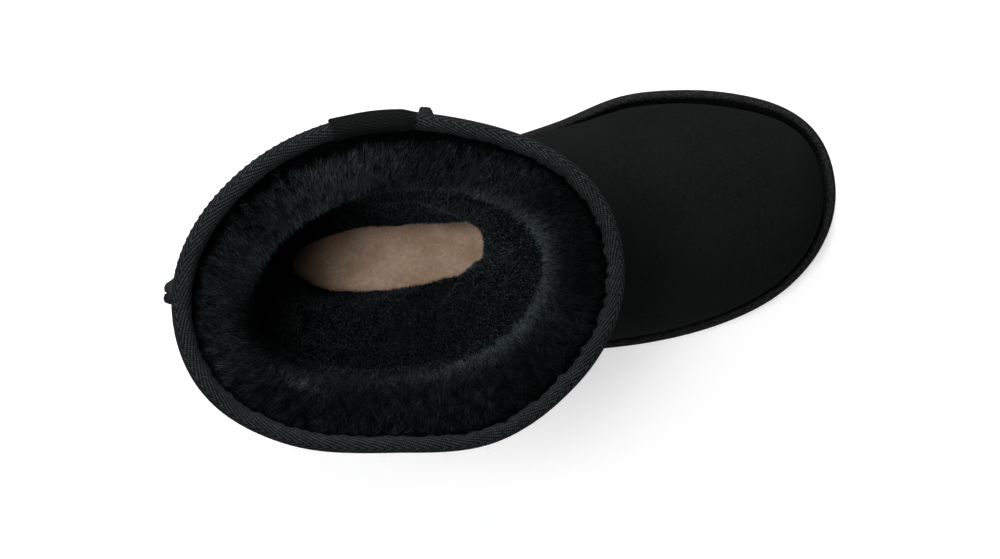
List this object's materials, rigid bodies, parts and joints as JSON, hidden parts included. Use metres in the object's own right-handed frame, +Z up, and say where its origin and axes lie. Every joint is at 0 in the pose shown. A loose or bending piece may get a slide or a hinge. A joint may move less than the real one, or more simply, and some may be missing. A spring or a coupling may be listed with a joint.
{
  "type": "sheepskin boot",
  "caption": "Black pull-on sheepskin boot for the right foot, with a short shaft, wool lining, taped collar and foam rubber sole.",
  "frame": {"origin": "on the floor, under the middle of the boot's box", "axes": "+X from heel to toe, +Y to the inner side of the right foot, +Z up"},
  "size_m": [0.2632, 0.1152, 0.2128],
  "materials": {
    "black_suede": "matte",
    "black_tape": "matte",
    "black_foam": "matte",
    "black_wool": "matte",
    "natural_wool": "matte"
  },
  "bodies": {
    "root": {"outsole": "black_foam", "rand": "black_tape", "upper": "black_suede", "insole": "natural_wool", "fleece_lining": "black_wool", "collar_binding": "black_tape", "binding_join": "black_tape", "heel_counter": "black_suede", "medial_seam": "black_suede", "lateral_seam": "black_suede", "back_seam": "black_suede"}
  },
  "joints": []
}
